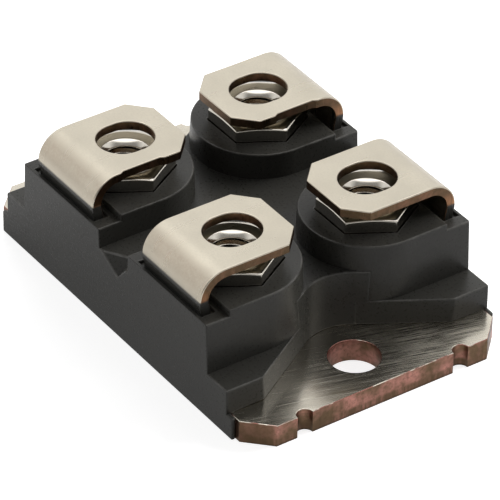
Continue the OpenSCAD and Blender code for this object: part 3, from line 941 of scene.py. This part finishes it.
def model_quarter(size, strap):
    """The +X +Y quarter of the body: built up from blocks and a tower, and cut for screw, strap and nut."""
    low, seat, side_y = PLATE_HIGH.z, NUT_LOW.z, MOULD_HIGH.y
    end_x = AXIS_X + size.tower_r * math.sin(size.flank)
    end_y = AXIS_Y - size.tower_r * math.cos(size.flank)
    quarter = add_box((0, 0, low), (AXIS_X, side_y, size.floor_z))
    combine(quarter, "UNION",
            add_box((0, 0, low), (end_x, end_y, size.floor_z)),
            add_box((0, 0, low), (size.ear_x, side_y, size.ear_z)),
            model_tower(size),
            add_box((0, PLATE_HIGH.y, 0), (MOULD_HIGH.x, side_y, low)))
    ledge = add_box((AXIS_X - STRAP_W, side_y - size.ledge_w, size.ledge_z),
                    (AXIS_X + STRAP_W, side_y + PAST, TOP_Z))
    half_w = STRAP_W / 2 + size.pocket_gap
    leg_out = side_y - strap.cover
    strap_pocket = add_box((AXIS_X - half_w, leg_out - strap.sheet - size.pocket_gap, size.pocket_z),
                           (AXIS_X + half_w, leg_out + size.pocket_gap, TOP_Z))
    nut_r = NUT_CORNER_R + size.nut_gap / math.cos(NUT_HALF)
    nut_pocket = add_drum(AXIS_X, AXIS_Y, seat, TOP_Z, nut_r, sides=NUT_SIDES, turn=NUT_HALF)
    well = add_drum(AXIS_X, AXIS_Y, seat - size.well_depth, seat + PAST, size.well_r, sides=FACETS["well"])
    combine(quarter, "DIFFERENCE", *model_recess(size), ledge, strap_pocket, nut_pocket, well)
    return quarter


def model_mould(size, strap):
    """The moulded body: one quarter mirrored twice, with the gate scar on the near side."""
    mould = model_quarter(size, strap)
    with editing(mould):
        pick("FACE", lambda f: along("x", 0)(f) or along("y", 0)(f))
        bpy.ops.mesh.delete(type="FACE")
    apply_modifier(mould, "MIRROR", use_axis=(True, True, False), merge_threshold=NEAR)
    combine(mould, "DIFFERENCE", model_gate_scar(size))
    clean(mould)
    return mould


def round_mould(mould, size):
    """Rounds the body's edges and marks the upward ones, which are made paler: partly rubbing, partly painted
    highlight.
    """
    def rubbed_and_highlit(face):
        """Upward edges, for painted highlight and rubbing, which leaves out the ledges in shade under the
        straps.
        """
        middle = face.calc_center_median()
        on_ledge = middle.z > size.floor_z + size.edge and abs(middle.y) > MOULD_HIGH.y - size.edge
        return slopes(face) and not on_ledge

    lean = math.pi / 2 - size.flank + math.acos(1 - size.recess_lap / size.recess_r)
    point_y = (size.recess_r + size.edge) * math.sin(lean) - 10 * NEAR
    with editing(mould):
        round_edges(size.edge, is_corner(MOULD_TURN), segments=2, rubbed_and_highlit=rubbed_and_highlit)
        # The floor is split where its roundings start to run into the towers
        for side in SIDES:
            pick("FACE", along("z", size.floor_z))
            slice_at((0, side * point_y, 0), (0, 1, 0))


# Terminals

def strap_line(size):
    """The strap's way out of the body, on the terminal's own axis: its leg, the ledge and the upper bend."""
    leg_out = MOULD_HIGH.y - AXIS_Y - size.cover
    ledge_z = bpy.context.scene.module_mould.ledge_z / MM
    bend_r = (TOP_Z - ledge_z - size.rise) / (1 + math.sin(size.lean))
    bend_y = leg_out + size.rise * math.tan(size.lean) - bend_r * math.cos(size.lean)
    bend_z = TOP_Z - bend_r
    return SimpleNamespace(leg_out=leg_out, ledge_z=ledge_z, bend_r=bend_r, bend_y=bend_y, bend_z=bend_z)


def model_strap(size):
    """One terminal on its own axis, folded outwards over +Y: drawn as a strip of sheet without thickness."""
    line = strap_line(size)
    foot_y, foot_z = line.leg_out - size.foot_r, FOOT_Z + size.foot_r
    take(None)
    bpy.ops.mesh.primitive_plane_add(size=1, location=(0, size.cut_y / 2 - STRAP_REACH, TOP_Z))
    bpy.context.object.scale = (STRAP_W, size.cut_y, 1)
    strap = placed()
    with editing(strap):
        pick("VERT", along("y", -STRAP_REACH))
        stretch((1 - 2 * size.cut_x / STRAP_W, 1, 1), (0, -STRAP_REACH, TOP_Z))
        pick("EDGE", along("y", size.cut_y - STRAP_REACH))
        pull((0, line.bend_y + STRAP_REACH - size.cut_y, 0))
        bpy.ops.mesh.spin(steps=BEND_STEPS, angle=math.pi / 2 + size.lean,
                          center=(0, line.bend_y, line.bend_z), axis=(1, 0, 0))
        pull((0, -size.rise * math.tan(size.lean), -size.rise))
        pull((0, 0, size.shoulder_z - line.ledge_z))
        for side in SIDES:
            pick("FACE", lambda f: all(v.co.z < line.ledge_z + NEAR for v in f.verts))
            slice_at((side * size.foot_w / 2, 0, 0), (1, 0, 0))
        shoulder = along("z", size.shoulder_z)
        pick("EDGE", lambda e: shoulder(e) and abs(sum(v.co.x for v in e.verts)) < NEAR)
        pull((0, 0, foot_z - size.shoulder_z))
        bpy.ops.mesh.spin(steps=FOOT_STEPS, angle=math.pi / 2, center=(0, foot_y, foot_z), axis=(1, 0, 0))
        pull((0, size.foot_tip - foot_y, 0))
        pick_all()
        bpy.ops.mesh.remove_doubles(threshold=NEAR)
        bpy.ops.mesh.normals_make_consistent(inside=False)
    return strap


def thicken_strap(strap, size):
    """Gives the strip its thickness and the screw slot."""
    flat = next(f for f in strap.data.polygons if f.center.z > TOP_Z - NEAR)
    if flat.normal.z < 0:
        with editing(strap):
            pick_all()
            bpy.ops.mesh.flip_normals()
    apply_modifier(strap, "SOLIDIFY", thickness=size.sheet, offset=-1, use_even_offset=True)
    slot = add_drum(0, 0, TOP_Z - 2 * size.sheet, TOP_Z + size.sheet, size.slot_w / 2,
                    turn=math.pi / FACETS["bore"])
    with editing(slot):
        for side in SIDES:
            pick("VERT", lambda v: v.co.y * side > 0)
            move((0, side * (size.slot_l - size.slot_w) / 2, 0))
    combine(strap, "DIFFERENCE", slot)
    clean(strap)
    return strap


def cut_tie_notch(strap, size, side):
    """The notch in one edge of a strap, where the tie bar was sheared off."""
    half = size.tie_l / 2 + size.tie_run
    edge = side * STRAP_W / 2
    inner, outer = edge - side * size.tie_depth, edge + side * size.tie_depth
    bar = add_box((min(inner, outer), size.tie_y - half, TOP_Z - 2 * size.sheet),
                  (max(inner, outer), size.tie_y + half, TOP_Z + size.sheet))
    with editing(bar):
        pick("FACE", along("x", inner))
        stretch((1, size.tie_l / 2 / half, 1), (edge, size.tie_y, TOP_Z))
        pick("FACE", along("x", outer))
        stretch((1, 1 + size.tie_run / half, 1), (edge, size.tie_y, TOP_Z))
    combine(strap, "DIFFERENCE", bar)
    clean(strap)


def round_strap(strap, size):
    """Bares the copper of the sheared walls, and rounds outer edges in nickel and the others in copper."""
    line = strap_line(size)
    corner = is_corner(SHEET_TURN)

    def outside(vert):
        if vert.co.y > line.bend_y:
            return math.hypot(vert.co.y - line.bend_y, vert.co.z - line.bend_z) > line.bend_r - size.sheet / 2
        return vert.co.z > TOP_Z - size.sheet / 2

    with editing(strap):
        form = bmesh.from_edit_mesh(strap.data)
        for face in form.faces:
            flat_wall = abs(face.normal.z) < NEAR and face.calc_center_median().z > TOP_Z - size.sheet
            side_wall = abs(face.normal.x) > FACING
            face.material_index = COPPER if flat_wall or side_wall else NICKEL
        bmesh.update_edit_mesh(strap.data)
        round_edges(size.edge, lambda e: corner(e) and all(outside(v) for v in e.verts), segments=3,
                    material=NICKEL)
        round_edges(size.burr, corner, segments=1, material=COPPER)


# Nuts

def model_nut(size):
    """One nut on its own axis: a chamfered hexagon with a conical sink over a wound thread."""
    low, high = NUT_LOW.z, NUT_HIGH.z
    slope_h = (NUT_CORNER_R - size.face_r) * math.tan(size.chamfer)
    sink_z = high - size.sink_h
    lip_z = sink_z - size.lip_h
    lead_z = low + size.lead_r - size.root_r
    nut = add_drum(0, 0, low, high, NUT_CORNER_R, sides=NUT_SIDES, turn=NUT_HALF)
    turned = add_drum(0, 0, low + slope_h, high - slope_h, NUT_CORNER_R + NEAR)
    with editing(turned):
        for side in SIDES:
            pick("FACE", lambda f: f.normal.z * side > FACING)
            pull((0, 0, side * slope_h))
            stretch((size.face_r / NUT_CORNER_R, size.face_r / NUT_CORNER_R, 1), (0, 0, 0))
    combine(nut, "INTERSECT", turned)
    combine(nut, "DIFFERENCE",
            add_drum(0, 0, low - PAST, high + PAST, THREAD_R),
            add_drum(0, 0, sink_z, high, THREAD_R, size.sink_r),
            add_drum(0, 0, lead_z, lip_z, size.root_r),
            add_drum(0, 0, low - PAST, lead_z, size.root_r + lead_z - low + PAST, size.root_r))
    clean(nut)
    corner = is_corner(NUT_TURN)
    on_sink, on_top = along("z", sink_z), along("z", high)

    def reach(edge):
        return min(v.co.xy.length for v in edge.verts)

    with editing(nut):
        round_edges(size.edge, lambda e: corner(e) and reach(e) > size.lead_r + NEAR, segments=3)
        round_edges(size.edge, lambda e: on_sink(e) and reach(e) < size.root_r, segments=3)
        round_edges(size.mouth, lambda e: on_top(e) and reach(e) < size.lead_r, segments=2)
    thread = wind_thread(size, lead_z, lip_z)
    take(nut)
    thread.select_set(True)
    bpy.ops.object.join()
    return nut


def wind_thread(size, low, high):
    """The thread's ridge: a trapezium wound up the bore, with its root let into the wall."""
    let_in = size.edge / 2
    crest, foot = size.pitch / 4, size.pitch * 7 / 8
    middle_r = (THREAD_R + size.root_r + let_in) / 2
    turns = int((high - low) / size.pitch)
    start = (low + high - turns * size.pitch) / 2
    take(None)
    bpy.ops.mesh.primitive_plane_add(size=1, location=(middle_r, 0, start), rotation=(math.pi / 2, 0, 0))
    bpy.context.object.scale = (size.root_r + let_in - THREAD_R, foot, 1)
    ridge = placed()
    with editing(ridge):
        pick("VERT", along("x", THREAD_R))
        stretch((1, 1, crest / foot), (THREAD_R, 0, start))
    apply_modifier(ridge, "SCREW", axis="Z", screw_offset=size.pitch, steps=TURN_STEPS,
                   render_steps=TURN_STEPS, iterations=turns, use_merge_vertices=False)
    with editing(ridge):
        pick_all()
        bpy.ops.mesh.fill_holes(sides=4)
        face_outwards()
    return ridge


# Stage

def ray_share(tree, *kinds):
    """1 for rays of any of the named kinds."""
    path = tree.nodes.new("ShaderNodeLightPath").outputs
    found = path[kinds[0]]
    for kind in kinds[1:]:
        found = calc(tree, "MAXIMUM", found, path[kind])
    return found


def make_floor():
    """A white floor that keeps the module's shadow."""
    take(None)
    bpy.ops.mesh.primitive_plane_add(size=FLOOR_WIDTH, location=(0, 0, 0))
    floor = placed()
    floor.name = "floor"
    material = bpy.data.materials.new("white_floor")
    material.use_nodes = True
    tree = material.node_tree
    tree.nodes.clear()
    matt = node(tree, "ShaderNodeBsdfDiffuse", {"Color": (FLOOR_GREY, FLOOR_GREY, FLOOR_GREY, 1)})
    seen = times(tree, ray_share(tree, "Is Camera Ray", "Is Transmission Ray"), FLOOR_SEEN)
    mirrored = times(tree, ray_share(tree, "Is Glossy Ray"), FLOOR_MIRRORED)
    glow = node(tree, "ShaderNodeEmission", {"Strength": calc(tree, "MAXIMUM", seen, mirrored)})
    both = node(tree, "ShaderNodeAddShader", {0: matt.outputs[0], 1: glow.outputs[0]})
    node(tree, "ShaderNodeOutputMaterial", {"Surface": both.outputs[0]})
    paint(floor, material)


def make_world(settings):
    """White where it is seen; a room with a bright ceiling in reflections; a soft fill for the rest."""
    world = bpy.data.worlds.new("studio")
    bpy.context.scene.world = world
    world.use_nodes = True
    tree = world.node_tree
    tree.nodes.clear()
    direction = tree.nodes.new("ShaderNodeTexCoord").outputs["Generated"]
    ahead = (math.sin(settings.azimuth), -math.cos(settings.azimuth), 0)
    links = {0: direction, 1: ahead}
    forward = node(tree, "ShaderNodeVectorMath", links, operation="DOT_PRODUCT").outputs["Value"]
    height = part_along(tree, direction, "Z")
    room = spread(tree, forward, ROOM_EDGE, (1.0, settings.front))
    overhead = spread(tree, height, OVERHEAD_EDGE, (1.0, OVERHEAD_SHARE))
    ceiling = times(tree, spread(tree, height, CEILING_EDGE, (0.0, CEILING)), overhead)
    mirrored = calc(tree, "MAXIMUM", room, ceiling)
    level = spread(tree, ray_share(tree, "Is Glossy Ray"), (0.0, 1.0), (settings.fill, mirrored))
    seen = ray_share(tree, "Is Camera Ray", "Is Transmission Ray")
    strength = calc(tree, "MAXIMUM", level, seen)
    sky = node(tree, "ShaderNodeBackground", {"Color": (1, 1, 1, 1), "Strength": strength})
    node(tree, "ShaderNodeOutputWorld", {"Surface": sky.outputs[0]})


def add_aimed(name, data, place, direction):
    """A lamp or camera in its place, facing a direction."""
    obj = bpy.data.objects.new(name, data)
    bpy.context.scene.collection.objects.link(obj)
    obj.location = place
    obj.rotation_mode = "QUATERNION"
    obj.rotation_quaternion = direction.to_track_quat("-Z", "Y")
    return obj


def make_lamp(name, watts, width, place):
    """A soft square lamp that faces the module and isn't seen in reflections."""
    data = bpy.data.lights.new(name, "AREA")
    data.energy = watts
    data.size = width
    add_aimed(name, data, place, LAMP_TARGET - Vector(place)).visible_glossy = False


def make_camera(settings):
    """The camera, on a line from its target, rolled and zoomed to the width of the view."""
    data = bpy.data.cameras.new("camera")
    across, up = settings.azimuth, settings.elevation
    back = Vector((math.sin(across) * math.cos(up), -math.cos(across) * math.cos(up), math.sin(up)))
    camera = add_aimed("camera", data, Vector(settings.target) + back * settings.distance, -back)
    camera.rotation_quaternion = camera.rotation_quaternion @ Quaternion((0, 0, 1), settings.roll)
    data.lens = data.sensor_width * settings.distance / settings.view_width
    data.clip_start, data.clip_end = settings.distance / 100, settings.distance * 100
    bpy.context.scene.camera = camera


# Operators

class MODULE_OT_plate(bpy.types.Operator):
    """Models and finishes the base plate"""

    bl_idname = "power_module.plate"
    bl_label = "Base plate"

    def execute(self, context):
        size = in_millimetres(context.scene.module_plate)
        look = context.scene.module_finishes
        plate = model_plate(size)
        paint(plate, plate_material(look), plate_copper(look, size.corner))
        round_plate(plate, size)
        finish_piece(plate, "plate", "plate_nickel", "base_plate")
        return {"FINISHED"}


class MODULE_OT_mould(bpy.types.Operator):
    """Models and finishes the moulded body"""

    bl_idname = "power_module.mould"
    bl_label = "Moulded body"

    def execute(self, context):
        size = in_millimetres(context.scene.module_mould)
        mould = model_mould(size, in_millimetres(context.scene.module_straps))
        round_mould(mould, size)
        paint(mould, epoxy_material(context.scene.module_finishes))
        finish_piece(mould, "mould", "epoxy", "moulded_body")
        return {"FINISHED"}


class MODULE_OT_straps(bpy.types.Operator):
    """Models one folded terminal, and copies it to the four axes"""

    bl_idname = "power_module.straps"
    bl_label = "Terminals"

    def execute(self, context):
        size = in_millimetres(context.scene.module_straps)
        look = context.scene.module_finishes
        # The painted shade low on the straps ends a little above the bend's centre
        level = strap_line(size).bend_z + STRAP_SHADE_FADE
        master = thicken_strap(model_strap(size), size)
        paint(master, strap_material(look, level), strap_copper(look, level))
        for name, (side_x, side_y) in TERMINALS.items():
            strap = copy_of(master)
            if name in TIED:
                cut_tie_notch(strap, size, side_y)
            round_strap(strap, size)
            shift(strap, side_x * AXIS_X, side_y * AXIS_Y, 0 if side_y > 0 else math.pi)
            finish_piece(strap, f"{name}_strap", "strap_nickel", f"{name}_terminal")
        bpy.data.objects.remove(master)
        return {"FINISHED"}


class MODULE_OT_nuts(bpy.types.Operator):
    """Models one captive nut, and copies it to the four axes"""

    bl_idname = "power_module.nuts"
    bl_label = "Nuts"

    def execute(self, context):
        # The nuts' upright sides get painted shade, darker than their tops
        nickel = plain_material("nut_nickel", context.scene.module_finishes.nut, roughness=0.1, sides=0.55)
        master = model_nut(in_millimetres(context.scene.module_nuts))
        for name, (side_x, side_y) in TERMINALS.items():
            nut = shift(copy_of(master), side_x * AXIS_X, side_y * AXIS_Y)
            paint(nut, nickel)
            finish_piece(nut, f"{name}_nut", "nut_steel", "terminal_nuts")
        bpy.data.objects.remove(master)
        return {"FINISHED"}


class MODULE_OT_inside(bpy.types.Operator):
    """Finishes the pieces sealed inside the body"""

    bl_idname = "power_module.inside"
    bl_label = "Inner pieces"

    def execute(self, context):
        look = context.scene.module_finishes
        finishes = {
            "solder": plain_material("dull_solder", look.solder, roughness=0.4),
            "copper": plain_material("plain_copper", look.copper, roughness=0.3),
            "ceramic": plain_material("white_ceramic", look.ceramic, roughness=0.5, metallic=0.0),
            "silicon": plain_material("polished_silicon", look.silicon, roughness=0.15, metallic=0.0),
            "bond_wire": plain_material("drawn_aluminium", look.wire, roughness=0.25),
        }
        for part in frame["record"]["subparts"]:
            if part["material_slot"] in finishes:
                paint(frame["nodes"][part["node"]], finishes[part["material_slot"]])
        return {"FINISHED"}


class MODULE_OT_stage(bpy.types.Operator):
    """Sets the floor, the light and the camera"""

    bl_idname = "power_module.stage"
    bl_label = "Stage"

    def execute(self, context):
        settings = context.scene.module_stage
        make_floor()
        make_world(settings)
        for name, (width, place) in LAMPS.items():
            make_lamp(f"{name}_lamp", getattr(settings, name), width, place)
        make_camera(settings)
        context.scene.view_settings.view_transform = "Standard"
        return {"FINISHED"}


STEPS = (
    MODULE_OT_plate,
    MODULE_OT_mould,
    MODULE_OT_straps,
    MODULE_OT_nuts,
    MODULE_OT_inside,
    MODULE_OT_stage,
)
SETTINGS = {
    "module_plate": PlateSizes,
    "module_mould": MouldSizes,
    "module_straps": StrapSizes,
    "module_nuts": NutSizes,
    "module_finishes": Finishes,
    "module_stage": StageSettings,
}


class MODULE_PT_steps(bpy.types.Panel):
    """Lists the steps and their settings"""

    bl_label = "Power module"
    bl_space_type = "VIEW_3D"
    bl_region_type = "UI"
    bl_category = "Power module"

    def draw(self, context):
        for step in STEPS:
            self.layout.operator(step.bl_idname)
        for key, kind in SETTINGS.items():
            box = self.layout.box()
            box.label(text=kind.__doc__)
            for name in kind.__annotations__:
                box.prop(getattr(context.scene, key), name)


CLASSES = (*SETTINGS.values(), *STEPS, MODULE_PT_steps)


def register():
    """Adds the classes and the scene's settings."""
    for kind in CLASSES:
        bpy.utils.register_class(kind)
    for key, kind in SETTINGS.items():
        setattr(bpy.types.Scene, key, PointerProperty(type=kind))


def unregister():
    """Removes the settings and the classes."""
    for key in SETTINGS:
        delattr(bpy.types.Scene, key)
    for kind in reversed(CLASSES):
        bpy.utils.unregister_class(kind)


def main():
    register()
    bpy.ops.power_module.plate()
    bpy.ops.power_module.mould()
    bpy.ops.power_module.straps()
    bpy.ops.power_module.nuts()
    bpy.ops.power_module.inside()
    bpy.ops.power_module.stage()


if __name__ == "__main__":
    main()
